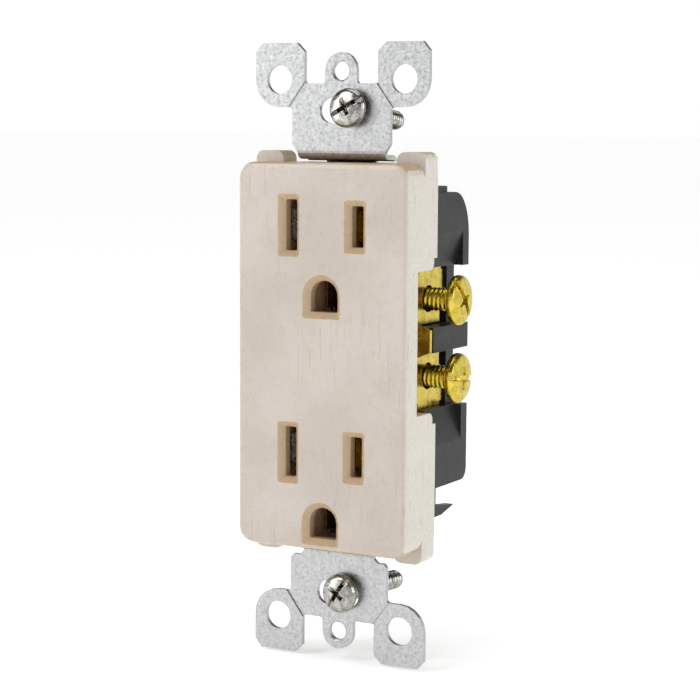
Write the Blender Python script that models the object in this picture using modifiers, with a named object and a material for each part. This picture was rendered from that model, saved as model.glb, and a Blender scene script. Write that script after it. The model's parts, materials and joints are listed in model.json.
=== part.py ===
"""Duplex wall outlet: a 15 A receptacle with a rectangular face, terminal screws on both sides and a steel strap.

Frame: X to the right seen from the front, Y into the wall, Z up. The origin is the centre of the device on
the front plane of the strap. The lengths below are in millimetres and are turned into metres as they are used.
"""

import math

import bmesh
import bpy
from mathutils import Matrix, Vector

MM = 0.001
GAP = 0.3  # between pieces that touch on the real object
SET_IN = 0.05  # a joined solid starts this far inside its neighbour's faces
ARC_STEPS = 4  # straight pieces in a quarter turn of an outline
ROUND_SIDES = 24  # sides of a turned piece
FUNNEL_SIDES = 22  # not a multiple of the hole's sides, so that their edges stay apart

# Face cover
FACE_HALF_WIDTH = 16.4
FACE_HALF_HEIGHT = 33.0
FACE_FRONT = -6.56
FACE_REAR = 4.3
FACE_CORNER = 2.75
FACE_BEVEL = 0.9
FACE_THICKNESS = 2.65
FLANGE_HALF_HEIGHT = 34.9
FLANGE_FRONT = -0.4
FLANGE_INNER_X = 11.0

# Receptacle openings, for each of the two receptacles
RECEPTACLE_SPACING = 38.9
RECEPTACLE_MIDDLE_Z = 2.97  # halfway between the two rows of blade slots
BLADE_X = 6.35
GROUND_DROP = 11.9  # ground hole below the blade slots
SLOT_WIDTH = 2.15
NEUTRAL_SLOT_HEIGHT = 8.7
HOT_SLOT_HEIGHT = 6.95
SLOT_CORNER = 0.3
SLOT_RIM_WIDTH = 1.0
SLOT_RIM_DEPTH = 1.25
GROUND_HALF = 2.6
RIM_INSET = 0.1  # how far the bevel's cutter starts inside the hole's walls
BLADE_ZS = (
    RECEPTACLE_MIDDLE_Z + RECEPTACLE_SPACING / 2,
    RECEPTACLE_MIDDLE_Z - RECEPTACLE_SPACING / 2,
)
GROUND_ZS = (BLADE_ZS[0] - GROUND_DROP, BLADE_ZS[1] - GROUND_DROP)

# Side windows of the cover, in front of the terminals
WINDOW_BOTTOM = -9.1
WINDOW_TOP = 15.15
WINDOW_LEDGE_X = 14.9
WINDOW_LEDGE_FRONT = -2.9
WINDOW_FRONT = -0.8
WINDOW_DEPTH_X = 11.1
WINDOW_CORNER = 1.2

# Strap
STRAP_THICKNESS = 0.85
STRAP_HALF_HEIGHT = 53.2
EAR_INNER_X = 7.1
EAR_OUTER_X = 16.7
EAR_BOTTOM = 42.3
EAR_HOLE_X = 12.0
EAR_HOLE_Z = 47.0
EAR_HOLE_RADIUS = 2.48
EAR_CORNER = 4.6
STRAP_HALF_WIDTH = 9.45
NOTCH_BOTTOM = 46.3
TAB_HALF_WIDTH = 3.05
TAB_END = 51.55
PLATE_SCREW_Z = 48.4  # tapped holes for the wall plate, 96.8 apart
PLATE_SCREW_RADIUS = 1.6
SHELF_Z = 34.3
BEND_RADIUS = 1.1
WEB_FRONT = 4.0
WEB_REAR = WEB_FRONT + STRAP_THICKNESS
SLOT_Z = 41.75
SLOT_HALF_WIDTH = 4.1
SLOT_HALF_HEIGHT = 2.15
SCORE_WIDTH = 0.45
SCORE_DEPTH = 0.25

# Rear body
BODY_HALF_WIDTH = 15.7
BODY_FRONT = FACE_REAR + GAP
BODY_REAR = 18.3
BODY_TOP = 28.0
BODY_BOTTOM = -22.7
BODY_ROUND_DEPTH = 5.5
BODY_ROUND_HEIGHT = 7.6
RECESS_TOP = 15.2
RIB_HALF_HEIGHT = 2.15
NECK_HALF_WIDTH = 8.0
NECK_BOTTOM = -33.0
NECK_REAR = 14.5

# Current-carrying strips, for both poles
PLATE_INNER_X = 11.5
PLATE_OUTER_X = 12.4
PLATE_FRONT = 2.5
PLATE_REAR = 15.1
PLATE_TOP = 14.5
LEAF_HALF_HEIGHT = 2.7
CONTACT_REAR = 9.4
LEAF_FRONT = -3.3

# Terminal screws, no. 8-32
TERMINAL_Y = 9.3
TERMINAL_OFFSET = 6.7  # from the middle between the receptacles
TERMINAL_SHANK = 2.05
TERMINAL_BORE = 2.4
TERMINAL_HEAD = 4.3
TERMINAL_HEAD_X = 17.5  # underside of the head, backed out
TERMINAL_LENGTH = 7.1
TERMINAL_RIM = 1.15
TERMINAL_DOME = 1.9

# Push-in terminals
PUSH_IN_X = 10.35
PUSH_IN_OFFSET = 13.4
PUSH_IN_RADIUS = 1.1
CLIP_PIVOT = (9.0, 15.5)

# Mounting screws, no. 6-32 by 3/4 inch, hanging askew in their slots
MOUNTING_SHANK = 1.72
MOUNTING_HEAD = 3.35
MOUNTING_LENGTH = 18.6
UPPER_MOUNTING_SEAT = (2.1, -0.95, 42.1)
UPPER_MOUNTING_TIP = (2.2, 17.5, 40.0)
LOWER_MOUNTING_SEAT = (1.2, -0.95, -41.3)
LOWER_MOUNTING_TIP = (2.9, 17.5, -42.2)

# Grounding
GROUND_LEAF_X = 2.55
GROUND_LEAF_HALF_HEIGHT = 2.4
GROUND_CONTACT_REAR = 12.9
RIVET_OFFSET = 7.5
RIVET_RADIUS = 1.2
GROUND_SCREW_Y = 9.4
GROUND_SCREW_Z = -28.0
GROUND_SCREW_X = -13.4
GROUND_SCREW_LENGTH = 5.5
GROUND_TAB_X = -8.875
GROUND_TAB_HALF_HEIGHT = 3.9
GROUND_TAB_REAR = 13.5


def clear_scene():
    for old in list(bpy.data.objects):
        bpy.data.objects.remove(old, do_unlink=True)


def new_collection(name):
    made = bpy.data.collections.new(name)
    bpy.context.scene.collection.children.link(made)
    return made


clear_scene()
PARTS = new_collection("duplex_wall_outlet")
CUTTERS = new_collection("cutters")


def material(name, colour, roughness, metallic=0.0):
    made = bpy.data.materials.new(name)
    made.use_nodes = True
    shader = made.node_tree.nodes["Principled BSDF"]
    shader.inputs["Base Color"].default_value = (*colour, 1.0)
    shader.inputs["Roughness"].default_value = roughness
    shader.inputs["Metallic"].default_value = metallic
    return made


# ---------------------------------------------------------------- outlines and solids


def rounded(points):
    """An outline's points, each (u, v) or (u, v, radius), with the corners that have a radius as arcs."""
    outline = []
    for index, point in enumerate(points):
        corner = Vector(point[:2])
        radius = point[2] if len(point) > 2 else 0.0
        before = (Vector(points[index - 1][:2]) - corner).normalized()
        after = (Vector(points[(index + 1) % len(points)][:2]) - corner).normalized()
        half_angle = before.angle(after) / 2
        if radius == 0.0 or half_angle > math.radians(88):
            outline.append(tuple(corner))
            continue
        centre = corner + (before + after).normalized() * radius / math.sin(half_angle)
        start = corner + before * radius / math.tan(half_angle) - centre
        end = corner + after * radius / math.tan(half_angle) - centre
        sweep = start.angle_signed(end)
        steps = max(1, math.ceil(abs(sweep) / (math.pi / 2) * ARC_STEPS))
        for step in range(steps + 1):
            spoke = start.copy()
            spoke.rotate(Matrix.Rotation(-sweep * step / steps, 2))
            outline.append(tuple(centre + spoke))
    return outline


def rectangle(low_u, low_v, high_u, high_v, radius=0.0):
    corners = ((low_u, low_v), (high_u, low_v), (high_u, high_v), (low_u, high_v))
    return rounded([(u, v, radius) for u, v in corners])


def ribbon(path, thickness):
    """The outline of a bent sheet whose middle line is the path, each point (u, v) or (u, v, bend radius)."""
    ends = (path[0], path[-1])
    middle = rounded(path)
    start = middle.index(tuple(Vector(ends[0][:2])))
    middle = [Vector(point) for point in middle[start:] + middle[:start]]
    left, right = [], []
    for index, point in enumerate(middle):
        into = (point - middle[index - 1]).normalized() if index else None
        out = (middle[index + 1] - point).normalized() if index + 1 < len(middle) else None
        along = ((into or out) + (out or into)).normalized()
        across = Vector((-along.y, along.x))
        stretch = 1.0 / max(0.5, across.dot(Vector((-(into or out).y, (into or out).x))))
        left.append(tuple(point + across * thickness / 2 * stretch))
        right.append(tuple(point - across * thickness / 2 * stretch))
    return left + right[::-1]


AXIS_TURN = {
    "X": Matrix(((0, 0, 1, 0), (1, 0, 0, 0), (0, 1, 0, 0), (0, 0, 0, 1))),
    "Y": Matrix(((1, 0, 0, 0), (0, 0, -1, 0), (0, 1, 0, 0), (0, 0, 0, 1))),
    "Z": Matrix.Identity(4),
}


def mesh_of(source):
    """A mesh of the evaluated object in world space, welded, with its faces pointing out."""
    depsgraph = bpy.context.evaluated_depsgraph_get()
    mesh = bpy.data.meshes.new_from_object(source.evaluated_get(depsgraph))
    form = bmesh.new()
    form.from_mesh(mesh)
    bmesh.ops.transform(form, matrix=source.matrix_world, verts=form.verts)
    bmesh.ops.remove_doubles(form, verts=form.verts, dist=1e-6)
    bmesh.ops.recalc_face_normals(form, faces=form.faces)
    form.to_mesh(mesh)
    form.free()
    mesh.name = source.name
    return mesh


def place(name, mesh, surface):
    """An object of the mesh: a part if it has a material, and otherwise a cutter."""
    made = bpy.data.objects.new(name, mesh)
    mesh.materials.clear()
    if surface:
        mesh.materials.append(surface)
        PARTS.objects.link(made)
    else:
        made.hide_render = True
        made.display_type = "WIRE"
        CUTTERS.objects.link(made)
    return made


def prism(name, outline, axis, start, end, surface=None):
    """A flat outline given along axis from start to end: (y, z) points for X, (x, z) for Y and (x, y) for Z."""
    flat = bpy.data.curves.new(name, "CURVE")
    flat.dimensions = "2D"
    flat.fill_mode = "BOTH"
    flat.extrude = abs(end - start) / 2 * MM
    spline = flat.splines.new("POLY")
    spline.points.add(len(outline) - 1)
    for spot, (u, v) in zip(spline.points, outline):
        spot.co = (u * MM, v * MM, 0.0, 1.0)
    spline.use_cyclic_u = True
    guide = bpy.data.objects.new(name + "_outline", flat)
    CUTTERS.objects.link(guide)
    middle = Vector([0.0, 0.0, 0.0])
    middle["XYZ".index(axis)] = (start + end) / 2 * MM
    guide.matrix_world = Matrix.Translation(middle) @ AXIS_TURN[axis]
    bpy.context.view_layer.update()
    mesh = mesh_of(guide)
    bpy.data.objects.remove(guide, do_unlink=True)
    return place(name, mesh, surface)


def box(name, low, high, surface=None):
    form = bmesh.new()
    bmesh.ops.create_cube(form, size=1.0)
    for vert in form.verts:
        vert.co = [(low[i] + high[i]) / 2 * MM + vert.co[i] * (high[i] - low[i]) * MM for i in range(3)]
    mesh = bpy.data.meshes.new(name)
    form.to_mesh(mesh)
    form.free()
    return place(name, mesh, surface)


def rod(name, centre, axis, length, radius, end_radius=None, sides=ROUND_SIDES, surface=None):
    """A cylinder, or a cone when end_radius is given, centred on centre with its end towards +axis."""
    form = bmesh.new()
    bmesh.ops.create_cone(
        form,
        cap_ends=True,
        segments=sides,
        radius1=radius * MM,
        radius2=(radius if end_radius is None else end_radius) * MM,
        depth=length * MM,
    )
    turn = Vector((0, 0, 1)).rotation_difference(Vector(axis)).to_matrix().to_4x4()
    bmesh.ops.transform(form, matrix=Matrix.Translation(Vector(centre) * MM) @ turn, verts=form.verts)
    mesh = bpy.data.meshes.new(name)
    form.to_mesh(mesh)
    form.free()
    return place(name, mesh, surface)


def combine(part, other, operation):
    step = part.modifiers.new(operation.lower() + "_" + other.name, "BOOLEAN")
    step.operation = operation
    step.solver = "EXACT"
    step.object = other


def cut(part, *others):
    for other in others:
        combine(part, other, "DIFFERENCE")


def join(part, *others):
    for other in others:
        combine(part, other, "UNION")


def bevel_rim(part, y, width, segments=2):
    """Rounds the edges of the flat face at y."""
    form = bmesh.new()
    form.from_mesh(part.data)
    on_rim = [e for e in form.edges if all(abs(v.co.y - y * MM) < 1e-6 for v in e.verts)]
    rim = [e for e in on_rim if e.calc_face_angle(0.0) > math.radians(45)]
    bmesh.ops.bevel(form, geom=rim, offset=width * MM, segments=segments, profile=0.5, affect="EDGES")
    form.to_mesh(part.data)
    form.free()


def flare(part, y, centre, scale_x, scale_z):
    """Widens the end of a cutter at y about a centre, which leaves a bevelled rim."""
    for vert in part.data.vertices:
        if abs(vert.co.y - y * MM) < 1e-6:
            vert.co.x = centre[0] * MM + (vert.co.x - centre[0] * MM) * scale_x
            vert.co.z = centre[1] * MM + (vert.co.z - centre[1] * MM) * scale_z
    form = bmesh.new()
    form.from_mesh(part.data)
    bmesh.ops.triangulate(form, faces=form.faces)
    form.to_mesh(part.data)
    form.free()


def turned(name, profile, surface, location, axis):
    """A round piece turned about its own Z from a profile of (radius, height), top to bottom."""
    mesh = bpy.data.meshes.new(name)
    form = bmesh.new()
    verts = [form.verts.new((radius * MM, 0.0, height * MM)) for radius, height in profile]
    for first, second in zip(verts, verts[1:]):
        form.edges.new((first, second))
    form.to_mesh(mesh)
    form.free()
    made = place(name, mesh, surface)
    screw = made.modifiers.new("turn", "SCREW")
    screw.steps = ROUND_SIDES
    screw.render_steps = ROUND_SIDES
    screw.use_merge_vertices = True
    screw.merge_threshold = 0.00001
    made.location = Vector(location) * MM
    made.rotation_mode = "QUATERNION"
    made.rotation_quaternion = Vector((0, 0, 1)).rotation_difference(Vector(axis))
    return made


def mirrored(z):
    """The height of the same feature on the other receptacle."""
    return 2 * RECEPTACLE_MIDDLE_Z - z


def z_span(half, low, high):
    """A span of heights for the upper half, or turned over for the lower one."""
    return (low, high) if half > 0 else (mirrored(high), mirrored(low))


def x_span(side, low, high):
    return (low, high) if side > 0 else (-high, -low)


def pole_box(name, side, half, x, y, z, surface=None):
    """A box for one pole (side) and one receptacle (half), given for the upper right one."""
    low_x, high_x = x_span(side, *x)
    low_z, high_z = z_span(half, *z)
    return box(name, (low_x, y[0], low_z), (high_x, y[1], high_z), surface)


POLES = (("hot", 1), ("neutral", -1))
HALVES = (("upper", 1), ("lower", -1))
FOUR_TERMINALS = [(f"{pole}_{level}", side, half) for pole, side in POLES for level, half in HALVES]


# ---------------------------------------------------------------- face cover


def ground_outline(z, half=GROUND_HALF):
    """A ground hole: a flat bottom with a half-round top."""
    return rounded(
        [
            (-half, z - half - 0.1, 0.3),
            (half, z - half - 0.1, 0.3),
            (half, z + half + 0.1, half - 0.01),
            (-half, z + half + 0.1, half - 0.01),
        ]
    )


def slot_cutters():
    cutters = []
    deep = FACE_FRONT + FACE_THICKNESS + 1.0
    rim_bottom = FACE_FRONT + SLOT_RIM_DEPTH
    for level, z in zip(("upper", "lower"), BLADE_ZS):
        for pole, side, height in (("hot", 1, HOT_SLOT_HEIGHT), ("neutral", -1, NEUTRAL_SLOT_HEIGHT)):
            x = side * BLADE_X
            name = f"{level}_{pole}_slot"
            half = (SLOT_WIDTH / 2, height / 2)
            outline = rectangle(x - half[0], z - half[1], x + half[0], z + half[1], SLOT_CORNER)
            cutters.append(prism(name, outline, "Y", FACE_FRONT - 1.0, deep))
            inner = (half[0] - RIM_INSET, half[1] - RIM_INSET)
            outline = rectangle(x - inner[0], z - inner[1], x + inner[0], z + inner[1], SLOT_CORNER)
            rim = prism(name + "_rim", outline, "Y", FACE_FRONT - 0.01, rim_bottom)
            widen = [(half[i] + SLOT_RIM_WIDTH) / inner[i] for i in range(2)]
            flare(rim, FACE_FRONT - 0.01, (x, z), *widen)
            cutters.append(rim)
    for level, z in zip(("upper", "lower"), GROUND_ZS):
        name = f"{level}_ground_hole"
        cutters.append(prism(name, ground_outline(z), "Y", FACE_FRONT - 1.0, deep))
        inner = GROUND_HALF - RIM_INSET
        rim = prism(name + "_rim", ground_outline(z, inner), "Y", FACE_FRONT - 0.01, rim_bottom)
        widen = (GROUND_HALF + SLOT_RIM_WIDTH) / inner
        flare(rim, FACE_FRONT - 0.01, (0.0, z), widen, widen)
        cutters.append(rim)
    return cutters


def cover_pockets():
    """The hollows behind the face that hold the contacts and the strap."""
    pocket_front = FACE_FRONT + FACE_THICKNESS
    behind = FACE_REAR + 1.0
    cutters = []
    for name, side, half in FOUR_TERMINALS:
        cutters.append(
            pole_box(f"{name}_pocket", side, half, (4.4, 8.3), (pocket_front, behind), (17.5, 27.4))
        )
    for level, z in zip(("upper", "lower"), GROUND_ZS):
        cutters.append(box(f"{level}_ground_pocket", (-3.7, pocket_front, z - 3.5), (3.7, behind, z + 3.5)))
        rivet_z = z + RIVET_OFFSET
        cutters.append(rod(f"{level}_rivet_pocket", (0, 4.0, rivet_z), (0, 1, 0), 2.6, 2.5))
    cutters.append(box("web_channel", (-5.6, WEB_FRONT - GAP, -34.0), (5.6, behind, 34.0)))
    cutters.append(
        box(
            "ground_tab_channel",
            (GROUND_TAB_X - 1.0, WEB_FRONT - GAP, GROUND_SCREW_Z - GROUND_TAB_HALF_HEIGHT - 0.4),
            (-5.0, behind, GROUND_SCREW_Z + GROUND_TAB_HALF_HEIGHT + 0.4),
        )
    )
    return cutters


def window_cutters():
    """The openings in the cover's sides for the terminal plates, each with a recessed ledge."""
    cutters = []
    for pole, side in POLES:
        for layer, depth, front in (
            ("ledge", WINDOW_LEDGE_X, WINDOW_LEDGE_FRONT),
            ("deep", WINDOW_DEPTH_X, WINDOW_FRONT),
        ):
            outline = rounded(
                [
                    (front, WINDOW_BOTTOM, 0.4),
                    (FACE_REAR - 1.2, WINDOW_BOTTOM, WINDOW_CORNER),
                    (FACE_REAR - 1.2, WINDOW_BOTTOM - 2.0),
                    (FACE_REAR + 1.0, WINDOW_BOTTOM - 2.0),
                    (FACE_REAR + 1.0, WINDOW_TOP + 2.0),
                    (FACE_REAR - 1.2, WINDOW_TOP + 2.0),
                    (FACE_REAR - 1.2, WINDOW_TOP, WINDOW_CORNER),
                    (front, WINDOW_TOP, 0.4),
                ]
            )
            span = x_span(side, depth, FACE_HALF_WIDTH + 1.0)
            cutters.append(prism(f"{pole}_{layer}_window", outline, "X", *span))
        fin_span = x_span(side, WINDOW_DEPTH_X + SET_IN, FACE_HALF_WIDTH + 2.0)
        cutters.append(
            box(
                f"{pole}_fin_notch",
                (fin_span[0], WINDOW_LEDGE_FRONT + SET_IN, 0.0),
                (fin_span[1], 0.0, 6.4),
            )
        )
    return cutters


def face_cover(surface):
    outline = rectangle(
        -FACE_HALF_WIDTH, -FACE_HALF_HEIGHT, FACE_HALF_WIDTH, FACE_HALF_HEIGHT, FACE_CORNER
    )
    cover = prism("face_cover", outline, "Y", FACE_FRONT, FACE_REAR, surface)
    bevel_rim(cover, FACE_FRONT, FACE_BEVEL)
    for level, side_z in (("upper", 1), ("lower", -1)):
        for hand, side_x in (("right", 1), ("left", -1)):
            low_x, high_x = x_span(side_x, FLANGE_INNER_X, FACE_HALF_WIDTH - SET_IN)
            low_z, high_z = x_span(side_z, FACE_HALF_HEIGHT - 4.0, FLANGE_HALF_HEIGHT)
            lip = rectangle(low_x, low_z, high_x, high_z, 1.4)
            join(cover, prism(f"{level}_{hand}_lip", lip, "Y", FLANGE_FRONT, FACE_REAR - SET_IN))
    cut(cover, *window_cutters(), *cover_pockets(), *slot_cutters())
    return cover


# ---------------------------------------------------------------- strap


def strap_half_outline(level):
    """One end of the strap seen from the front, from the middle tab to the web: the right half."""
    ear = [
        (TAB_HALF_WIDTH, TAB_END, TAB_HALF_WIDTH - 0.01),
        (TAB_HALF_WIDTH, NOTCH_BOTTOM, 0.5),
        (EAR_INNER_X, NOTCH_BOTTOM, 0.5),
        (EAR_INNER_X, STRAP_HALF_HEIGHT - 1.5),
        (EAR_INNER_X + 1.5, STRAP_HALF_HEIGHT),
        (EAR_OUTER_X - 1.3, STRAP_HALF_HEIGHT),
        (EAR_OUTER_X, STRAP_HALF_HEIGHT - 1.5),
        (EAR_OUTER_X, EAR_BOTTOM, EAR_CORNER),
        (STRAP_HALF_WIDTH, EAR_BOTTOM, 0.6),
    ]
    if level > 0:
        root = [(STRAP_HALF_WIDTH, 36.1), (8.43, 34.6), (8.43, 33.2)]
    else:
        root = [(STRAP_HALF_WIDTH, 36.2, 0.4), (8.9, 35.6), (7.7, 35.6), (6.94, 34.9), (6.94, 33.2)]
    return ear + root


def web_half_outline():
    """The web between the two shelves, top to bottom: the right half."""
    upper_ring, lower_ring = GROUND_ZS
    return [
        (4.8, 33.2),
        (4.8, 27.5),
        (3.4, 26.3),
        (3.4, upper_ring + 6.6),
        (5.2, upper_ring + 5.0),
        (5.2, upper_ring - 5.0),
        (3.4, upper_ring - 6.6),
        (3.4, lower_ring + 6.6),
        (5.2, lower_ring + 5.0),
        (5.2, -33.2),
    ]


def mounting_strap(surface):
    upper = strap_half_outline(1)
    lower = [(x, -z, *radius) for x, z, *radius in strap_half_outline(-1)][::-1]
    right = upper + web_half_outline() + lower
    left = [(-x, *rest) for x, *rest in right][::-1]
    outline = prism("strap_outline", rounded(right + left), "Y", -3.0, 8.0)

    middle_web = (WEB_FRONT + WEB_REAR) / 2
    middle_front = STRAP_THICKNESS / 2
    middle_shelf = SHELF_Z - STRAP_THICKNESS / 2
    end = STRAP_HALF_HEIGHT + 2.0
    sheet = ribbon(
        [
            (middle_front, end),
            (middle_front, middle_shelf, BEND_RADIUS),
            (middle_web, middle_shelf, BEND_RADIUS),
            (middle_web, -middle_shelf, BEND_RADIUS),
            (middle_front, -middle_shelf, BEND_RADIUS),
            (middle_front, -end),
        ],
        STRAP_THICKNESS,
    )
    strap = prism("mounting_strap", sheet, "X", -20.0, 20.0, surface)
    combine(strap, outline, "INTERSECT")

    tab = ribbon(
        [
            (-3.0, middle_web),
            (GROUND_TAB_X, middle_web, 1.0),
            (GROUND_TAB_X, GROUND_TAB_REAR),
        ],
        STRAP_THICKNESS,
    )
    tab_low = GROUND_SCREW_Z - GROUND_TAB_HALF_HEIGHT
    tab_high = GROUND_SCREW_Z + GROUND_TAB_HALF_HEIGHT
    join(strap, prism("ground_tab", tab, "Z", tab_low, tab_high))
    tab_hole = (GROUND_TAB_X, GROUND_SCREW_Y, GROUND_SCREW_Z)
    cut(strap, rod("ground_screw_hole", tab_hole, (1, 0, 0), 4.0, TERMINAL_SHANK + GAP))

    for level, sign in HALVES:
        slot = rectangle(
            -SLOT_HALF_WIDTH,
            sign * SLOT_Z - SLOT_HALF_HEIGHT,
            SLOT_HALF_WIDTH,
            sign * SLOT_Z + SLOT_HALF_HEIGHT,
            SLOT_HALF_HEIGHT - 0.05,
        )
        cut(strap, prism(f"{level}_screw_slot", slot, "Y", -2.0, 3.0))
        plate_hole = (0.0, 0.0, sign * PLATE_SCREW_Z)
        cut(strap, rod(f"{level}_plate_hole", plate_hole, (0, 1, 0), 4.0, PLATE_SCREW_RADIUS))
        rim_radii = (2.3, PLATE_SCREW_RADIUS - 0.3)
        cut(strap, rod(f"{level}_plate_rim", plate_hole, (0, 1, 0), 0.7, *rim_radii, FUNNEL_SIDES))
        for hand, side in (("right", 1), ("left", -1)):
            ear_hole = (side * EAR_HOLE_X, 0.0, sign * EAR_HOLE_Z)
            cut(strap, rod(f"{level}_{hand}_ear_hole", ear_hole, (0, 1, 0), 4.0, EAR_HOLE_RADIUS))
            start = Vector((side * (EAR_INNER_X - 0.6), sign * (NOTCH_BOTTOM + 0.8)))
            finish = Vector((side * (STRAP_HALF_WIDTH + 1.2), sign * (EAR_BOTTOM - 0.8)))
            score = ribbon([tuple(start), tuple(finish)], SCORE_WIDTH)
            cut(strap, prism(f"{level}_{hand}_score", score, "Y", -1.0, SCORE_DEPTH))
    for (level, _), z in zip(HALVES, GROUND_ZS):
        ring = rectangle(-3.2, z - 3.4, 3.2, z + 3.4, 1.0)
        cut(strap, prism(f"{level}_ring", ring, "Y", 3.0, 6.0))
        rivet = (0.0, WEB_FRONT, z + RIVET_OFFSET)
        cut(strap, rod(f"{level}_rivet_hole", rivet, (0, 1, 0), 4.0, RIVET_RADIUS + GAP))
    return strap


# ---------------------------------------------------------------- rear body


def body_profile():
    """The body seen from the side: its upper rear edge is a quarter of an ellipse."""
    crown = []
    for step in range(2 * ARC_STEPS + 1):
        angle = math.pi / 2 * step / (2 * ARC_STEPS)
        crown.append(
            (
                BODY_REAR - BODY_ROUND_DEPTH + BODY_ROUND_DEPTH * math.cos(angle),
                BODY_TOP - BODY_ROUND_HEIGHT + BODY_ROUND_HEIGHT * math.sin(angle),
            )
        )
    return rounded([(BODY_FRONT, BODY_BOTTOM), (BODY_REAR, BODY_BOTTOM, 2.0), *crown, (BODY_FRONT, BODY_TOP)])


def terminal_cutters(name, side, half):
    """The room that one terminal needs: its recess, its channels, its screw bore and its push-in hole."""
    middle = RECEPTACLE_MIDDLE_Z
    rib = middle + RIB_HALF_HEIGHT
    front = BODY_FRONT - 1.0
    outside = BODY_HALF_WIDTH + 1.0
    screw_z = middle + half * TERMINAL_OFFSET
    wire_z = middle + half * PUSH_IN_OFFSET
    cutters = [
        pole_box(f"{name}_plate_recess", side, half, (11.2, outside), (front, 15.4), (rib, RECESS_TOP)),
        pole_box(f"{name}_rear_recess", side, half, (12.9, outside), (front, 20.0), (rib, RECESS_TOP)),
        pole_box(f"{name}_contact_room", side, half, (4.4, 8.3), (front, 10.6), (19.2, 25.7)),
        pole_box(f"{name}_link_channel", side, half, (7.5, 12.7), (front, 7.1), (19.6, 22.4)),
        pole_box(f"{name}_arm_channel", side, half, (11.2, 12.7), (front, 14.3), (13.0, 18.4)),
        pole_box(f"{name}_upper_channel", side, half, (11.2, 12.7), (front, 8.9), (18.0, 22.4)),
        pole_box(f"{name}_clip_room", side, half, (7.6, 11.5), (front, 16.1), (14.8, 17.95)),
        rod(f"{name}_screw_bore", (side * 8.6, TERMINAL_Y, screw_z), (1, 0, 0), 7.2, TERMINAL_BORE),
        rod(f"{name}_wire_hole", (side * PUSH_IN_X, 17.5, wire_z), (0, 1, 0), 5.0, PUSH_IN_RADIUS),
        rod(f"{name}_wire_funnel", (side * PUSH_IN_X, BODY_REAR, wire_z), (0, 1, 0), 1.6, 0.9, 1.9, FUNNEL_SIDES),
        pole_box(
            f"{name}_release_slot",
            side,
            half,
            (7.9, 8.8),
            (15.0, 20.0),
            (middle + PUSH_IN_OFFSET - 1.3, middle + PUSH_IN_OFFSET + 1.3),
        ),
    ]
    slant = [
        (side * BODY_HALF_WIDTH, middle + half * 18.2),
        (side * 14.0, middle + half * (RECESS_TOP - middle - 0.3)),
        (side * outside, middle + half * (RECESS_TOP - middle - 0.3)),
        (side * outside, middle + half * 18.2),
    ]
    cutters.append(prism(f"{name}_wire_slant", slant, "Y", front, 16.0))
    return cutters


def rear_body(surface):
    body = prism("rear_body", body_profile(), "X", -BODY_HALF_WIDTH, BODY_HALF_WIDTH, surface)
    neck_front = WEB_REAR + GAP + SET_IN
    neck = rounded(
        [
            (neck_front, NECK_BOTTOM),
            (NECK_REAR, NECK_BOTTOM, 2.0),
            (NECK_REAR, BODY_BOTTOM + 3.0),
            (neck_front, BODY_BOTTOM + 3.0),
        ]
    )
    join(body, prism("neck", neck, "X", -NECK_HALF_WIDTH, NECK_HALF_WIDTH))
    hook = rounded(
        [
            (5.0, BODY_BOTTOM + 2.0),
            (5.0, -29.8),
            (7.6, -29.8, 0.8),
            (7.6, -28.1),
            (10.3, -28.1),
            (15.3, -27.0),
            (10.3, -26.4),
            (8.0, -26.4),
            (8.0, BODY_BOTTOM + 2.0),
        ]
    )
    join(body, prism("hook", hook, "X", 13.2, 14.8))
    for hand, side in (("right", 1), ("left", -1)):
        low_x, high_x = x_span(side, 6.5, 15.2)
        rib_low = (low_x, BODY_FRONT + SET_IN, BODY_TOP - 1.0)
        join(body, box(f"{hand}_top_rib", rib_low, (high_x, 10.4, 29.1)))
    for name, side, half in FOUR_TERMINALS:
        cut(body, *terminal_cutters(name, side, half))
    for (level, _), z in zip(HALVES, GROUND_ZS):
        cut(body, box(f"{level}_ground_room", (-3.2, 4.0, z - 3.3), (3.2, 13.5, z + 10.0)))
    cut(body, box("body_web_channel", (-5.6, 4.0, -34.0), (5.6, WEB_REAR + GAP, 34.0)))
    tip_bore = (-6.1, GROUND_SCREW_Y, GROUND_SCREW_Z)
    cut(body, rod("ground_tip_bore", tip_bore, (1, 0, 0), 5.0, TERMINAL_BORE))
    return body


# ---------------------------------------------------------------- current-carrying pieces


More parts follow.
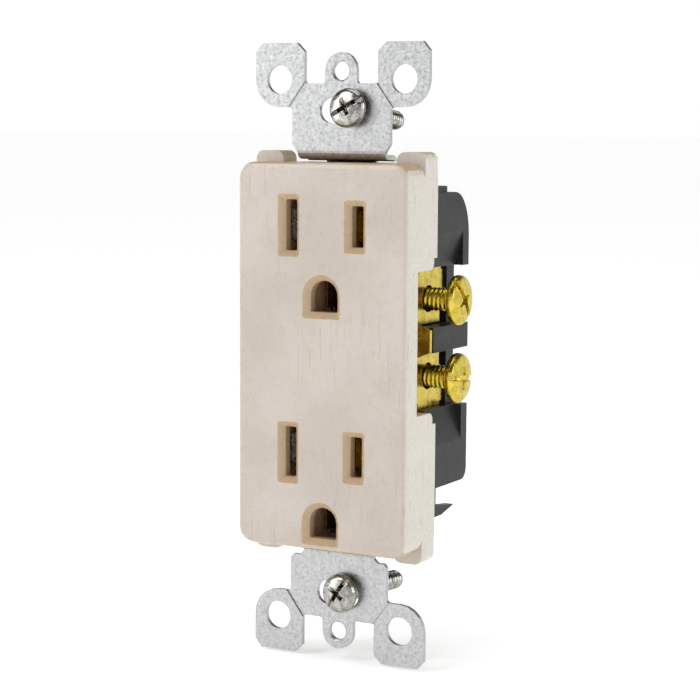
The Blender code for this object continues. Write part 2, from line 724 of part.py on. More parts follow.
def bus(pole, side, surface):
    """One pole's brass: two terminal plates joined by a break-off fin, and a pair of leaves for each blade."""
    middle = RECEPTACLE_MIDDLE_Z
    rib = middle + RIB_HALF_HEIGHT + GAP
    fin = [
        (side * (PLATE_INNER_X + SET_IN), middle + 3.3),
        (side * (PLATE_OUTER_X + SET_IN), middle + 3.3),
        (side * 16.0, middle + 1.9),
        (side * 16.0, middle - 1.9),
        (side * (PLATE_OUTER_X + SET_IN), middle - 3.3),
        (side * (PLATE_INNER_X + SET_IN), middle - 3.3),
    ]
    strip = prism(f"{pole}_bus", fin, "Y", PLATE_FRONT + SET_IN, PLATE_FRONT + 0.9, surface)
    plate_x = x_span(side, PLATE_INNER_X, PLATE_OUTER_X)
    for level, half in HALVES:
        name = f"{pole}_{level}"
        flat = [
            (PLATE_FRONT, rib),
            (PLATE_REAR - 1.5, rib),
            (PLATE_REAR - 1.5, rib + 2.6),
            (PLATE_REAR, rib + 3.2),
            (PLATE_REAR, PLATE_TOP),
            (14.0, PLATE_TOP),
            (14.0, 18.0),
            (8.5, 18.0),
            (8.5, 22.0),
            (5.5, 22.0),
            (5.5, PLATE_TOP - 0.4),
            (PLATE_FRONT, PLATE_TOP - 0.4),
        ]
        if half < 0:
            flat = [(y, mirrored(z)) for y, z in flat]
        join(strip, prism(f"{name}_plate", flat, "X", *plate_x))
        link = pole_box(f"{name}_link", side, half, (7.2, 12.0), (5.9, 6.7), (20.0, 21.8))
        leaves = ribbon(
            [
                (side * (BLADE_X - 1.35), LEAF_FRONT),
                (side * (BLADE_X - 0.75), LEAF_FRONT + 2.3, 2.0),
                (side * (BLADE_X - 1.0), CONTACT_REAR, 0.8),
                (side * (BLADE_X + 1.0), CONTACT_REAR, 0.8),
                (side * (BLADE_X + 0.75), LEAF_FRONT + 2.3, 2.0),
                (side * (BLADE_X + 1.35), LEAF_FRONT),
            ],
            0.5,
        )
        blade_z = BLADE_ZS[0] if half > 0 else BLADE_ZS[1]
        span = (blade_z - LEAF_HALF_HEIGHT, blade_z + LEAF_HALF_HEIGHT)
        join(strip, link, prism(f"{name}_leaves", leaves, "Z", *span))
        hole = (side * 12.0, TERMINAL_Y, middle + half * TERMINAL_OFFSET)
        cut(strip, rod(f"{name}_tapped_hole", hole, (1, 0, 0), 4.0, TERMINAL_SHANK + GAP))
    return strip


def ground_contact(level, z, surface):
    """A brass fork for the ground pin, with a foot that is riveted to the strap."""
    fork = ribbon(
        [
            (-GROUND_LEAF_X - 0.4, 0.8),
            (-GROUND_LEAF_X, 2.6, 2.0),
            (-GROUND_LEAF_X, GROUND_CONTACT_REAR, 1.0),
            (GROUND_LEAF_X, GROUND_CONTACT_REAR, 1.0),
            (GROUND_LEAF_X, 2.6, 2.0),
            (GROUND_LEAF_X + 0.4, 0.8),
        ],
        0.6,
    )
    top = z + GROUND_LEAF_HALF_HEIGHT
    contact = prism(f"{level}_ground_contact", fork, "Z", z - GROUND_LEAF_HALF_HEIGHT, top, surface)
    foot_front = WEB_REAR + GAP
    foot = box(f"{level}_foot", (-2.8, foot_front, top - 0.4), (2.8, foot_front + 0.7, z + 9.6))
    join(contact, foot)
    cut(
        contact,
        rod(f"{level}_foot_hole", (0.0, foot_front, z + RIVET_OFFSET), (0, 1, 0), 4.0, RIVET_RADIUS + GAP),
    )
    return contact


def ground_rivet(level, z, surface):
    head = 0.6
    front = WEB_FRONT - GAP - head
    rear = WEB_REAR + GAP + 0.7 + GAP + head
    length = rear - front
    profile = [
        (0.0, length),
        (1.9, length),
        (2.1, length - head),
        (RIVET_RADIUS, length - head),
        (RIVET_RADIUS, head),
        (2.1, head),
        (1.9, 0.0),
        (0.0, 0.0),
    ]
    return turned(f"{level}_ground_rivet", profile, surface, (0.0, front, z + RIVET_OFFSET), (0, 1, 0))


# ---------------------------------------------------------------- fasteners and springs


def screw_profile(head, rim, dome, shank, length, point=0.6):
    """A domed screw standing on its point side down: the head is above height 0 and the shank below it."""
    top = []
    for step in range(5):
        angle = math.pi / 2 * step / 5
        top.append((head * 0.93 * math.sin(angle), rim + (dome - rim) * math.cos(angle)))
    rest = [
        (head * 0.95, rim),
        (head, rim * 0.72),
        (head, rim * 0.2),
        (head * 0.95, 0.0),
        (shank, 0.0),
        (shank, -length + point),
        (shank - point * 0.8, -length),
        (0.0, -length),
    ]
    return top + rest


def terminal_screw(name, side, half, surface):
    profile = screw_profile(TERMINAL_HEAD, TERMINAL_RIM, TERMINAL_DOME, TERMINAL_SHANK, TERMINAL_LENGTH)
    seat = (side * TERMINAL_HEAD_X, TERMINAL_Y, RECEPTACLE_MIDDLE_Z + half * TERMINAL_OFFSET)
    screw = turned(f"{name}_screw", profile, surface, seat, (side, 0, 0))
    angle = math.radians(50) if half > 0 else 0.0
    low_x, high_x = x_span(side, TERMINAL_HEAD_X + 1.0, TERMINAL_HEAD_X + 3.0)
    slot = box(f"{name}_slot", (low_x, -5.0, -0.55), (high_x, 5.0, 0.55))
    slot.data.transform(Matrix.Rotation(angle, 4, "X"))
    slot.data.transform(Matrix.Translation(Vector((0.0, seat[1], seat[2])) * MM))
    cut(screw, slot)
    return screw


def ground_screw(surface):
    """A hexagonal washer-head screw that clamps the ground wire to the strap's tab."""
    profile = [
        (0.0, 1.1),
        (3.95, 1.1),
        (4.1, 0.9),
        (4.1, 0.0),
        (TERMINAL_SHANK, 0.0),
        (TERMINAL_SHANK, 0.6 - GROUND_SCREW_LENGTH),
        (1.5, -GROUND_SCREW_LENGTH),
        (0.0, -GROUND_SCREW_LENGTH),
    ]
    place_at = (GROUND_SCREW_X, GROUND_SCREW_Y, GROUND_SCREW_Z)
    screw = turned("ground_screw", profile, surface, place_at, (-1, 0, 0))
    hexagon = rod(
        "ground_screw_hexagon",
        (GROUND_SCREW_X - 1.55, GROUND_SCREW_Y, GROUND_SCREW_Z),
        (1, 0, 0),
        2.1,
        3.6,
        sides=6,
    )
    join(screw, hexagon)
    slot = box(
        "ground_screw_slot",
        (GROUND_SCREW_X - 3.5, GROUND_SCREW_Y - 5.0, GROUND_SCREW_Z - 0.5),
        (GROUND_SCREW_X - 1.7, GROUND_SCREW_Y + 5.0, GROUND_SCREW_Z + 0.5),
    )
    cut(screw, slot)
    return screw


def mounting_screw(level, seat, tip, surface):
    axis = (Vector(seat) - Vector(tip)).normalized()
    profile = screw_profile(MOUNTING_HEAD, 0.9, 1.75, MOUNTING_SHANK, MOUNTING_LENGTH)
    screw = turned(f"{level}_mounting_screw", profile, surface, seat, axis)
    slot = box(f"{level}_mounting_slot", (-0.45, -4.0, 0.75), (0.45, 4.0, 3.0))
    slot.matrix_world = Matrix.Translation(Vector(seat) * MM) @ screw.rotation_quaternion.to_matrix().to_4x4()
    cut(screw, slot)
    return screw


def push_in_clip(name, side, half, surface):
    """A spring leaf that bites a wire pushed in from the back; it turns about its root."""
    pivot_x, pivot_y = CLIP_PIVOT
    path = [
        (side * (pivot_x - 0.8), pivot_y),
        (side * (pivot_x + 0.3), pivot_y, 0.4),
        (side * (pivot_x + 1.8), pivot_y - 4.5),
    ]
    wire_z = RECEPTACLE_MIDDLE_Z + half * PUSH_IN_OFFSET
    clip = prism(f"{name}_clip", ribbon(path, 0.35), "Z", wire_z - 1.2, wire_z + 1.2, surface)
    origin = Vector((side * pivot_x, pivot_y, wire_z)) * MM
    clip.data.transform(Matrix.Translation(-origin))
    clip.location = origin
    return clip


def build():
    almond = material("almond_plastic", (0.78, 0.70, 0.60), 0.32)
    black = material("black_plastic", (0.03, 0.03, 0.032), 0.55)
    zinc = material("zinc_plated_steel", (0.58, 0.59, 0.60), 0.38, 1.0)
    brass = material("brass", (0.80, 0.62, 0.18), 0.28, 1.0)
    dull_brass = material("contact_brass", (0.66, 0.48, 0.20), 0.35, 1.0)
    nickel = material("nickel_plated_brass", (0.72, 0.71, 0.68), 0.25, 1.0)
    bright_zinc = material("bright_zinc", (0.70, 0.70, 0.71), 0.25, 1.0)
    green = material("green_dyed_steel", (0.05, 0.33, 0.12), 0.35, 1.0)
    spring = material("spring_steel", (0.55, 0.55, 0.56), 0.3, 1.0)

    face_cover(almond)
    rear_body(black)
    mounting_strap(zinc)
    for (pole, side), surface in zip(POLES, (brass, nickel)):
        bus(pole, side, surface)
        for level, half in HALVES:
            terminal_screw(f"{pole}_{level}", side, half, surface)
            push_in_clip(f"{pole}_{level}", side, half, spring)
    for (level, _), z in zip(HALVES, GROUND_ZS):
        ground_contact(level, z, dull_brass)
        ground_rivet(level, z, dull_brass)
    ground_screw(green)
    mounting_screw("upper", UPPER_MOUNTING_SEAT, UPPER_MOUNTING_TIP, bright_zinc)
    mounting_screw("lower", LOWER_MOUNTING_SEAT, LOWER_MOUNTING_TIP, bright_zinc)


build()
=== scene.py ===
import json
import math

import bmesh
import bpy
from mathutils import Matrix, Vector


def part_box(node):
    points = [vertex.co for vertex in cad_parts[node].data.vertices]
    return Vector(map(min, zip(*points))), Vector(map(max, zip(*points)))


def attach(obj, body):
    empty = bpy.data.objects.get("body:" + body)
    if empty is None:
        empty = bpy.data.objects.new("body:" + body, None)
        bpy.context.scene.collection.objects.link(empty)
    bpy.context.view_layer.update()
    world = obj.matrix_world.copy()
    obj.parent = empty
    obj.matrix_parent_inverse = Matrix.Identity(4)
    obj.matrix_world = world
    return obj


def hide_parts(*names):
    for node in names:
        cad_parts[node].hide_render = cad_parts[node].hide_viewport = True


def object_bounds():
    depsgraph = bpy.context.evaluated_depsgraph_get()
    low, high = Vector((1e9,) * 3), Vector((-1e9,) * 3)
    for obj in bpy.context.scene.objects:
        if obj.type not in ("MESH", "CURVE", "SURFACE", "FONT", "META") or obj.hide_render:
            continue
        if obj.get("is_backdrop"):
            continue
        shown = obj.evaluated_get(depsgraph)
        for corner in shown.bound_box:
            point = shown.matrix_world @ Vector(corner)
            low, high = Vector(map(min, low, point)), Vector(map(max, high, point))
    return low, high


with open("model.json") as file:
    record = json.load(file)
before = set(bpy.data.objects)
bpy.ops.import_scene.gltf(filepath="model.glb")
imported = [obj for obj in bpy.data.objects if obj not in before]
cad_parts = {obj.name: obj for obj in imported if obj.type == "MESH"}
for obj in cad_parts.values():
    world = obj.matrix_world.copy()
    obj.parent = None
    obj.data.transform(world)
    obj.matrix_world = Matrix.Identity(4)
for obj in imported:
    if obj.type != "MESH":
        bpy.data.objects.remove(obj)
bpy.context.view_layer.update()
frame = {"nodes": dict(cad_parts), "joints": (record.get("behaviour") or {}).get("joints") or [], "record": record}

# Sizes are in millimetres and are turned into metres as they are used.
MM = 0.001
OBJECTS = frame["nodes"]

CAMERA_PLACE = (162.739, -297.603, 39.211)
CAMERA_AZIMUTH = 28.36
CAMERA_ELEVATION = 6.44
CAMERA_ROLL = 0.377
CAMERA_LENS = 102.25

THREAD_COLUMNS = 32
HEAD_RINGS = 10
TERMINAL_PITCH = 0.79  # no. 8-32
MOUNTING_PITCH = 0.79  # no. 6-32
THREAD_DEPTH = 0.24
# From this distance from the middle outwards, the side walls are painted the lighter cream of lit walls; nearer in
# they are painted the darker tan of shade.
OUTER_WALL_X = 15.9
OUTER_WALL_BLEND = 0.2

# The studio is in metres and watts.
FLOOR_HALF_SIZE = 20.0
FLOOR_DROP = 0.0005
FLOOR_GLOW = 0.45
WORLD_AT_HORIZON = 1.02
WORLD_AT_TOP = 0.10
WORLD_FADE = (0.12, 0.55)
AREA_LIGHTS = {
    "key": ((-0.35, -0.55, 0.50), (0.35, 0.35), 1.7, (1.0, 0.985, 0.97)),
    "left": ((-0.50, -0.46, 0.10), (0.10, 0.45), 0.9, (1.0, 1.0, 1.0)),
    "side": ((0.65, -0.10, 0.25), (0.25, 0.4), 1.0, (1.0, 1.0, 1.0)),
}
SUN_STRENGTH = 1.1
SUN_ANGLE = 50


# ---------------------------------------------------------------- material helpers


class Graph:
    """A material's node tree, with short calls for the nodes that the materials share."""

    def __init__(self, name):
        self.material = bpy.data.materials.new(name)
        self.material.use_nodes = True
        self.tree = self.material.node_tree
        self.shader = self.tree.nodes["Principled BSDF"]
        place = self.tree.nodes.new("ShaderNodeTexCoord")
        scale = self.tree.nodes.new("ShaderNodeMapping")
        scale.inputs["Scale"].default_value = (1 / MM, 1 / MM, 1 / MM)
        self.tree.links.new(place.outputs["Object"], scale.inputs["Vector"])
        self.place = scale.outputs["Vector"]  # in millimetres

    def node(self, kind, inputs=None, **settings):
        made = self.tree.nodes.new("ShaderNode" + kind)
        for key, value in settings.items():
            setattr(made, key, value)
        for key, value in (inputs or {}).items():
            self.link(value, made.inputs[key])
        return made

    def link(self, value, socket):
        if isinstance(value, bpy.types.NodeSocket):
            self.tree.links.new(value, socket)
        else:
            socket.default_value = value

    def noise(self, scale, detail=3.0, roughness=0.5, place=None, distortion=0.0):
        inputs = {
            "Vector": place or self.place,
            "Scale": scale,
            "Detail": detail,
            "Roughness": roughness,
            "Distortion": distortion,
        }
        return self.node("TexNoise", inputs).outputs["Fac"]

    def stretched(self, turn, stretch):
        """The place, turned and squeezed, so that a texture on it runs in streaks."""
        inputs = {"Vector": self.place, "Rotation": turn, "Scale": stretch}
        return self.node("Mapping", inputs).outputs["Vector"]

    def span(self, value, low, high, to_low=0.0, to_high=1.0):
        """A value between low and high spread over another span, smoothly and clamped."""
        inputs = {"Value": value, "From Min": low, "From Max": high, "To Min": to_low, "To Max": to_high}
        return self.node("MapRange", inputs, interpolation_type="SMOOTHSTEP").outputs["Result"]

    def math(self, operation, first, second=0.0):
        return self.node("Math", {0: first, 1: second}, operation=operation, use_clamp=False).outputs[0]

    def blend(self, factor, first, second):
        made = self.tree.nodes.new("ShaderNodeMix")
        made.data_type = "RGBA"
        self.link(factor, made.inputs["Factor"])
        self.link((*first, 1.0) if isinstance(first, tuple) else first, made.inputs["A"])
        self.link((*second, 1.0) if isinstance(second, tuple) else second, made.inputs["B"])
        return made.outputs["Result"]

    def edges(self, radius, strength):
        """1 on worn edges and 0 elsewhere: where the rounded normal leaves the true one."""
        round_normal = self.node("Bevel", {"Radius": radius * MM}, samples=6).outputs["Normal"]
        true_normal = self.node("NewGeometry").outputs["Normal"]
        dot = self.node("VectorMath", {0: round_normal, 1: true_normal}, operation="DOT_PRODUCT")
        return self.span(dot.outputs["Value"], 1.0 - strength, 0.999, 1.0, 0.0)

    def bump(self, height, depth, normal=None):
        inputs = {"Height": height, "Strength": 1.0, "Distance": depth * MM}
        if normal:
            inputs["Normal"] = normal
        return self.node("Bump", inputs).outputs["Normal"]

    def finish(self, colour, roughness, normal, metallic=0.0):
        self.link((*colour, 1.0) if isinstance(colour, tuple) else colour, self.shader.inputs["Base Color"])
        self.link(roughness, self.shader.inputs["Roughness"])
        self.link(normal, self.shader.inputs["Normal"])
        self.shader.inputs["Metallic"].default_value = metallic
        return self.material


def scratches(graph, lines, rare):
    """Fine straight scratches in several directions, each line (angle in degrees, density)."""
    marks = 0.0
    for index, (angle, density) in enumerate(lines):
        turn = (0.0, math.radians(angle), index * 1.7)
        streak = graph.noise(density, 2.0, 0.6, graph.stretched(turn, (1.0, 1.0, 0.045)))
        line = graph.span(streak, rare, rare + 0.035)
        marks = line if index == 0 else graph.math("MAXIMUM", marks, line)
    return marks


def almond_plastic():
    graph = Graph("almond_plastic")
    cloud = graph.span(graph.noise(0.06, 4.0, 0.55), 0.35, 0.65)
    front = graph.blend(cloud, (0.500, 0.440, 0.385), (0.560, 0.502, 0.450))
    normal = graph.node("SeparateXYZ", {0: graph.node("NewGeometry").outputs["True Normal"]})
    place = graph.node("SeparateXYZ", {0: graph.place})
    aside = graph.math("ABSOLUTE", place.outputs["X"])
    forward = graph.math("MULTIPLY", normal.outputs["Y"], -1.0)
    # Painted light and shade: faces that do not look to the front get a painted colour. It is a darker tan as
    # painted shade on the bevels and in the recesses, and a lighter cream as painted light on the outer side walls.
    wall = graph.span(forward, 0.80, 0.97, 1.0, 0.0)
    lit_outer_wall = graph.span(aside, OUTER_WALL_X - OUTER_WALL_BLEND, OUTER_WALL_X)
    wall_light_and_shade = graph.blend(lit_outer_wall, (0.53, 0.39, 0.25), (0.66, 0.63, 0.555))
    colour = graph.blend(wall, front, wall_light_and_shade)
    marks = scratches(graph, ((24, 2.4), (-38, 1.9), (63, 2.1), (-74, 1.7)), 0.66)
    patch = graph.span(graph.noise(0.09, 2.0), 0.44, 0.56)
    marks = graph.math("MULTIPLY", marks, patch)
    speck = graph.node("TexVoronoi", {"Vector": graph.place, "Scale": 0.32}).outputs["Distance"]
    speck = graph.span(speck, 0.025, 0.06, 1.0, 0.0)
    dirt = graph.math("MAXIMUM", graph.math("MULTIPLY", marks, 0.26), graph.math("MULTIPLY", speck, 0.6))
    colour = graph.blend(dirt, colour, (0.30, 0.22, 0.15))
    roughness = graph.span(graph.noise(0.5, 4.0, 0.6), 0.3, 0.7, 0.24, 0.34)
    roughness = graph.math("ADD", roughness, graph.math("MULTIPLY", marks, 0.2))
    sink = graph.noise(0.11, 2.0, 0.5)
    peel = graph.noise(2.2, 3.0, 0.5)
    height = graph.math("SUBTRACT", graph.math("MULTIPLY", peel, 0.35), marks)
    waves = graph.bump(sink, 0.22)
    graph.shader.inputs["Subsurface Weight"].default_value = 0.12
    graph.shader.inputs["Subsurface Radius"].default_value = (1.0, 0.7, 0.45)
    graph.shader.inputs["Subsurface Scale"].default_value = 0.6 * MM
    return graph.finish(colour, roughness, graph.bump(height, 0.012, waves))


def black_plastic():
    graph = Graph("black_plastic")
    cloud = graph.span(graph.noise(0.25, 5.0, 0.6), 0.3, 0.7)
    colour = graph.blend(cloud, (0.010, 0.010, 0.010), (0.022, 0.022, 0.021))
    marks = scratches(graph, ((15, 2.2), (-52, 1.8)), 0.71)
    edge = graph.edges(0.25, 0.25)
    wear = graph.math("MAXIMUM", graph.math("MULTIPLY", edge, 0.35), graph.math("MULTIPLY", marks, 0.4))
    colour = graph.blend(wear, colour, (0.13, 0.13, 0.125))
    grain = graph.noise(7.0, 5.0, 0.65)
    roughness = graph.span(grain, 0.3, 0.7, 0.36, 0.50)
    graph.shader.inputs["Specular IOR Level"].default_value = 0.28
    return graph.finish(colour, roughness, graph.bump(grain, 0.035))


def metal(name, base, dark, bright, roughness, mottle=1.1, edge_dark=0.5, streak=0.5):
    """Plated or bare metal: mottled tone, drawn streaks, fine scratches and burnished edges."""
    graph = Graph(name)
    cloud = graph.noise(mottle, 6.0, 0.65, distortion=0.6)
    tone = graph.span(cloud, 0.34, 0.66)
    colour = graph.blend(tone, dark, base)
    spot = graph.span(graph.noise(mottle * 3.1, 4.0, 0.6), 0.58, 0.72)
    colour = graph.blend(graph.math("MULTIPLY", spot, 0.5), colour, bright)
    edge = graph.edges(0.22, 0.3)
    colour = graph.blend(graph.math("MULTIPLY", edge, edge_dark), colour, dark)
    marks = scratches(graph, ((8, 3.2), (-47, 2.3), (81, 2.7)), 0.68)
    drawn = graph.noise(5.0, 3.0, 0.6, graph.stretched((0.0, 0.2, 0.0), (1.0, 1.0, 0.12)))
    rough = graph.span(cloud, 0.3, 0.7, roughness - 0.07, roughness + 0.09)
    rough = graph.math("ADD", rough, graph.math("MULTIPLY", marks, 0.12))
    height = graph.math("ADD", graph.math("MULTIPLY", drawn, streak), graph.math("MULTIPLY", cloud, 0.6))
    height = graph.math("SUBTRACT", height, graph.math("MULTIPLY", marks, 0.5))
    return graph.finish(colour, rough, graph.bump(height, 0.02), 1.0)


MATERIALS = {
    "almond_plastic": almond_plastic(),
    "black_plastic": black_plastic(),
    "zinc_strap": metal("zinc_strap", (0.56, 0.565, 0.57), (0.40, 0.405, 0.41), (0.68, 0.69, 0.70), 0.32, 1.6, 0.9),
    "bright_zinc": metal("bright_zinc", (0.50, 0.49, 0.46), (0.22, 0.21, 0.195), (0.76, 0.75, 0.72), 0.20, 0.9, 0.8),
    "brass": metal("brass", (0.72, 0.57, 0.085), (0.48, 0.35, 0.035), (0.90, 0.77, 0.26), 0.22, 0.7, 0.7),
    "contact_brass": metal("contact_brass", (0.55, 0.38, 0.14), (0.28, 0.17, 0.05), (0.7, 0.55, 0.3), 0.36),
    "nickel": metal("nickel", (0.72, 0.71, 0.67), (0.45, 0.44, 0.41), (0.88, 0.87, 0.84), 0.24, 0.8),
    "green_screw": metal("green_screw", (0.06, 0.36, 0.14), (0.02, 0.16, 0.06), (0.25, 0.55, 0.3), 0.3, 0.9),
    "spring_steel": metal("spring_steel", (0.58, 0.58, 0.58), (0.35, 0.35, 0.36), (0.8, 0.8, 0.8), 0.27),
}


# ---------------------------------------------------------------- mesh helpers


def dress(obj, slot):
    obj.data.materials.clear()
    obj.data.materials.append(MATERIALS[slot])


def soften(obj, width, segments=2, angle=35):
    """Rounds a piece's hard edges and hardens the normals beside them."""
    bevel = obj.modifiers.new("rounded_edges", "BEVEL")
    bevel.width = width * MM
    bevel.segments = segments
    bevel.limit_method = "ANGLE"
    bevel.angle_limit = math.radians(angle)
    bevel.use_clamp_overlap = True
    bevel.harden_normals = True
    bevel.miter_outer = "MITER_ARC"


def object_of(name, form):
    mesh = bpy.data.meshes.new(name)
    form.to_mesh(mesh)
    form.free()
    made = bpy.data.objects.new(name, mesh)
    bpy.context.scene.collection.objects.link(made)
    return made


def rings_mesh(name, rings):
    """A closed round mesh from rings of (height, radius of each column); the two ends are closed by fans."""
    form = bmesh.new()
    rows = []
    for height, radii in rings:
        row = []
        for column, radius in enumerate(radii):
            angle = 2 * math.pi * column / len(radii)
            spot = (radius * math.cos(angle) * MM, radius * math.sin(angle) * MM, height * MM)
            row.append(form.verts.new(spot))
        rows.append(row)
    for first, second in zip(rows, rows[1:]):
        for column in range(len(first)):
            after = (column + 1) % len(first)
            form.faces.new((first[column], second[column], second[after], first[after]))
    for row in (rows[0], rows[-1]):
        centre = form.verts.new((0.0, 0.0, row[0].co.z))
        for column in range(len(row)):
            form.faces.new((centre, row[column], row[(column + 1) % len(row)]))
    bmesh.ops.recalc_face_normals(form, faces=form.faces)
    return object_of(name, form)


def screw_rings(head, rim, dome, shank, length, pitch):
    """A screw's rings, from the top of its domed head to its point, with the thread as a helical ridge."""
    rings = []
    for step in range(1, HEAD_RINGS + 1):
        angle = math.pi / 2 * step / HEAD_RINGS
        flat = math.cos(angle) ** 0.85
        rings.append((rim + (dome - rim) * flat, head * 0.95 * math.sin(angle)))
    rings += [(rim * 0.9, head * 0.985), (rim * 0.7, head), (rim * 0.25, head), (rim * 0.07, head * 0.985)]
    rings += [(0.0, head * 0.95), (0.0, shank + 0.15), (-0.12, shank - THREAD_DEPTH)]
    rings = [(height, [radius] * THREAD_COLUMNS) for height, radius in rings]
    steps = math.ceil(length / pitch * 6)
    for step in range(1, steps + 1):
        height = -0.25 - (length - 0.25) * step / steps
        left = length + height
        taper = min(1.0, 0.55 + 0.45 * left / 1.2)
        fade = min(1.0, (-height - 0.2) / 0.6)
        radii = []
        for column in range(THREAD_COLUMNS):
            phase = (height / pitch + column / THREAD_COLUMNS) % 1.0
            ridge = max(0.0, 1.0 - abs(phase - 0.5) * 2.6) ** 0.8
            radii.append((shank - THREAD_DEPTH + THREAD_DEPTH * ridge * fade) * taper)
        rings.append((height, radii))
    return rings


def tapered_bar(form, length_top, length_bottom, width, top, depth, turn):
    """One wing of a cross recess: a bar that narrows as it goes down."""
    made = bmesh.ops.create_cube(form, size=1.0)["verts"]
    for vert in made:
        high = vert.co.z > 0
        vert.co.x *= length_top if high else length_bottom
        vert.co.y *= width if high else width * 0.7
        vert.co.z = top if high else top - depth
    bmesh.ops.transform(form, matrix=Matrix.Rotation(turn, 4, "Z"), verts=made)


def recess_cutters(head, dome, slot_width, slot_depth, turn):
    """A slot right across the head and a cross recess at its middle, as separate cutters."""
    cutters = []
    top = dome + 1.0
    shapes = (
        (head * 2.4, head * 2.4, slot_width, slot_depth + 1.0, turn),
        (head * 1.25, head * 0.35, slot_width * 0.9, slot_depth + 1.75, turn + math.pi / 2),
        (head * 1.20, head * 0.40, slot_width * 0.95, slot_depth + 1.70, turn),
    )
    for index, (length_top, length_bottom, width, depth, angle) in enumerate(shapes):
        form = bmesh.new()
        tapered_bar(form, length_top, length_bottom, width, top, depth, angle)
        bmesh.ops.scale(form, vec=(MM, MM, MM), verts=form.verts)
        cutters.append(object_of(f"recess_{index}", form))
    return cutters


def baked(obj):
    """Replaces an object's mesh by its evaluated one, with no modifiers left."""
    depsgraph = bpy.context.evaluated_depsgraph_get()
    mesh = bpy.data.meshes.new_from_object(obj.evaluated_get(depsgraph))
    obj.modifiers.clear()
    obj.data = mesh


def carve(obj, cutters):
    for cutter in cutters:
        step = obj.modifiers.new("carve", "BOOLEAN")
        step.operation = "DIFFERENCE"
        step.solver = "EXACT"
        step.object = cutter
    bpy.context.view_layer.update()
    baked(obj)
    for cutter in cutters:
        bpy.data.objects.remove(cutter, do_unlink=True)


def smooth(obj, angle=32):
    obj.data.shade_smooth()
    obj.data.set_sharp_from_angle(angle=math.radians(angle))


def finished_screw(node, slot, sizes, recess_turn, seat, axis):
    """A detailed screw that replaces a plain one: it stands at its seat with its head towards axis."""
    head, rim, dome, shank, length, pitch, slot_width, slot_depth = sizes
    screw = rings_mesh(node + "_detailed", screw_rings(head, rim, dome, shank, length, pitch))
    carve(screw, recess_cutters(head, dome, slot_width, slot_depth, math.radians(recess_turn)))
    soften(screw, 0.07, 2, 40)
    baked(screw)
    smooth(screw)
    turn = Vector((0, 0, 1)).rotation_difference(Vector(axis)).to_matrix().to_4x4()
    screw.matrix_world = Matrix.Translation(seat) @ turn
    dress(screw, slot)
    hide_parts(node)
    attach(screw, node)


# ---------------------------------------------------------------- carried-over pieces

SOFTENED = {
    "face_cover": 0.24,
    "rear_body": 0.22,
    "mounting_strap": 0.12,
    "hot_bus": 0.10,
    "neutral_bus": 0.10,
    "upper_ground_contact": 0.10,
    "lower_ground_contact": 0.10,
    "upper_ground_rivet": 0.12,
    "lower_ground_rivet": 0.12,
    "ground_screw": 0.15,
    "hot_upper_clip": 0.05,
    "hot_lower_clip": 0.05,
    "neutral_upper_clip": 0.05,
    "neutral_lower_clip": 0.05,
}
SLOT_OF = {part["node"]: part["material_slot"] for part in frame["record"]["subparts"]}

for node, width in SOFTENED.items():
    dress(OBJECTS[node], SLOT_OF[node])
    soften(OBJECTS[node], width)


# ---------------------------------------------------------------- detailed screws

# Head radius, rim, dome, shank radius, length, pitch, slot width and slot depth
TERMINAL_SIZES = (4.3, 1.15, 1.9, 2.05, 7.1, TERMINAL_PITCH, 1.2, 1.1)
MOUNTING_SIZES = (3.35, 0.9, 1.75, 1.72, 18.6, MOUNTING_PITCH, 0.95, 0.95)


def terminal_screws():
    turns = {"hot_upper": 38, "hot_lower": 84, "neutral_upper": 20, "neutral_lower": -55}
    for name, turn in turns.items():
        node = name + "_screw"
        low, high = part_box(node)
        side = 1 if "hot" in name else -1
        tip_x = low[0] if side > 0 else high[0]
        seat = Vector((tip_x + side * TERMINAL_SIZES[4] * MM, (low[1] + high[1]) / 2, (low[2] + high[2]) / 2))
        finished_screw(node, SLOT_OF[node], TERMINAL_SIZES, turn, seat, (side, 0, 0))


def mounting_screws():
    axes = {joint["child"]: Vector(joint["axis"]) for joint in frame["joints"]}
    seats = {"upper": (2.1, -0.95, 42.1), "lower": (1.2, -0.95, -41.3)}
    turns = {"upper": 28, "lower": 52}
    for level, seat in seats.items():
        node = level + "_mounting_screw"
        axis = -axes[node]
        place = Vector(seat) * MM
        finished_screw(node, SLOT_OF[node], MOUNTING_SIZES, turns[level], place, axis)


terminal_screws()
mounting_screws()


# ---------------------------------------------------------------- camera, floor and light


def camera():
    data = bpy.data.cameras.new("camera")
    data.lens = CAMERA_LENS
    data.sensor_width = 36.0
    data.clip_start = 0.02
    data.clip_end = 20.0
    made = bpy.data.objects.new("camera", data)
    bpy.context.scene.collection.objects.link(made)
    azimuth = Matrix.Rotation(math.radians(CAMERA_AZIMUTH), 4, "Z")
    tilt = Matrix.Rotation(math.radians(90 - CAMERA_ELEVATION), 4, "X")
    roll = Matrix.Rotation(math.radians(CAMERA_ROLL), 4, "Z")
    made.matrix_world = Matrix.Translation(Vector(CAMERA_PLACE) * MM) @ azimuth @ tilt @ roll
    bpy.context.scene.camera = made


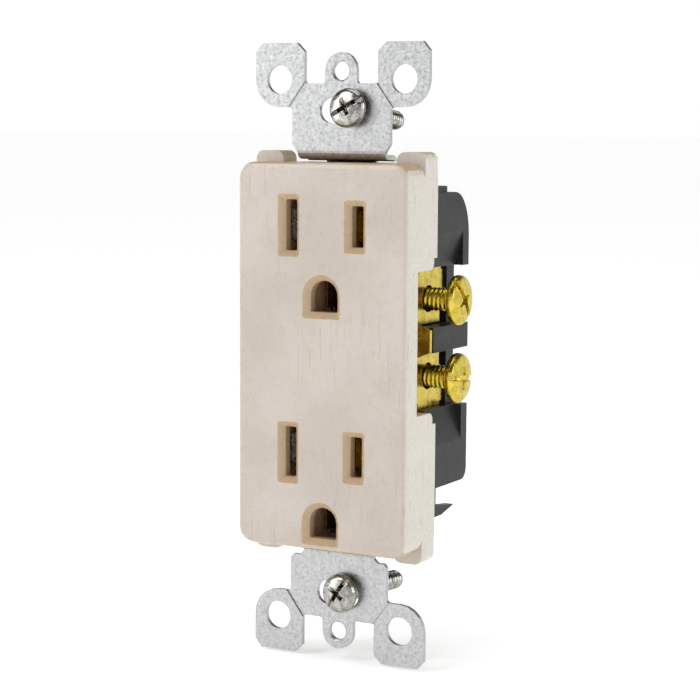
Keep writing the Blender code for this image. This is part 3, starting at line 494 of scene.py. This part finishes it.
def floor():
    """A plain white floor that glows a little, so that no horizon shows."""
    form = bmesh.new()
    bmesh.ops.create_grid(form, x_segments=2, y_segments=2, size=FLOOR_HALF_SIZE)
    base = object_of("floor", form)
    base.location.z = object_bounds()[0][2] - FLOOR_DROP
    material = bpy.data.materials.new("floor")
    material.use_nodes = True
    shader = material.node_tree.nodes["Principled BSDF"]
    shader.inputs["Base Color"].default_value = (0.93, 0.93, 0.93, 1.0)
    shader.inputs["Roughness"].default_value = 0.9
    shader.inputs["Specular IOR Level"].default_value = 0.1
    shader.inputs["Emission Color"].default_value = (1.0, 1.0, 1.0, 1.0)
    shader.inputs["Emission Strength"].default_value = FLOOR_GLOW
    base.data.materials.append(material)
    base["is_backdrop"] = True


def area_light(name, place, size, power, colour):
    data = bpy.data.lights.new(name, "AREA")
    data.shape = "RECTANGLE"
    data.size, data.size_y = size
    data.energy = power
    data.color = colour
    made = bpy.data.objects.new(name, data)
    bpy.context.scene.collection.objects.link(made)
    made.location = place
    aim = Vector((0.0, 0.0, 0.0)) - Vector(place)
    made.rotation_mode = "QUATERNION"
    made.rotation_quaternion = aim.to_track_quat("-Z", "Y")


def lights():
    world = bpy.data.worlds.new("studio")
    world.use_nodes = True
    tree = world.node_tree
    place = tree.nodes.new("ShaderNodeTexCoord")
    split = tree.nodes.new("ShaderNodeSeparateXYZ")
    fade = tree.nodes.new("ShaderNodeMapRange")
    fade.interpolation_type = "SMOOTHSTEP"
    fade.inputs["From Min"].default_value, fade.inputs["From Max"].default_value = WORLD_FADE
    fade.inputs["To Min"].default_value = WORLD_AT_HORIZON
    fade.inputs["To Max"].default_value = WORLD_AT_TOP
    tree.links.new(place.outputs["Generated"], split.inputs[0])
    tree.links.new(split.outputs["Z"], fade.inputs["Value"])
    tree.links.new(fade.outputs["Result"], tree.nodes["Background"].inputs["Strength"])
    tree.nodes["Background"].inputs["Color"].default_value = (1.0, 1.0, 1.0, 1.0)
    bpy.context.scene.world = world
    for name, settings in AREA_LIGHTS.items():
        area_light(name, *settings)
    top = bpy.data.lights.new("top", "SUN")
    top.energy = SUN_STRENGTH
    top.angle = math.radians(SUN_ANGLE)
    above = bpy.data.objects.new("top", top)
    bpy.context.scene.collection.objects.link(above)


camera()
floor()
lights()
bpy.context.scene.view_settings.view_transform = "Standard"
